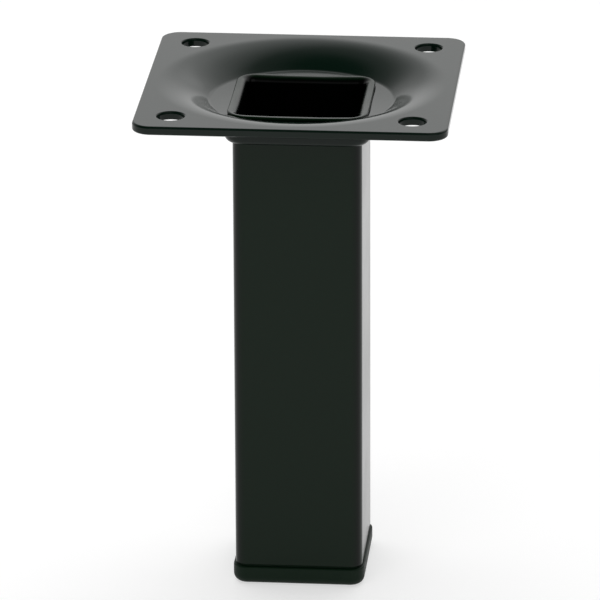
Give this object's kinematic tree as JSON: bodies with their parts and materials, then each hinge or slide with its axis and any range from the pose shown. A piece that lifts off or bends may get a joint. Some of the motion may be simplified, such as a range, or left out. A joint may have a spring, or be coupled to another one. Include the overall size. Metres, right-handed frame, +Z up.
{
  "type": "table leg",
  "caption": "Short square tube furniture leg with a pressed, dished screw-on top plate and a moulded plug-in foot cap.",
  "frame": {"origin": "middle of the foot's underside, on the floor that the leg stands on", "axes": "+Z up along the tube towards the screw-on plate, X and Y square to the tube's faces"},
  "size_m": [0.06, 0.06, 0.1],
  "materials": {
    "coated_plate": "satin black powder coat",
    "coated_tube": "satin black powder coat",
    "moulded_cap": "finely grained black moulded plastic"
  },
  "bodies": {
    "root": {"mounting_plate": "coated_plate", "leg_tube": "coated_tube", "end_cap": "moulded_cap"}
  },
  "joints": []
}
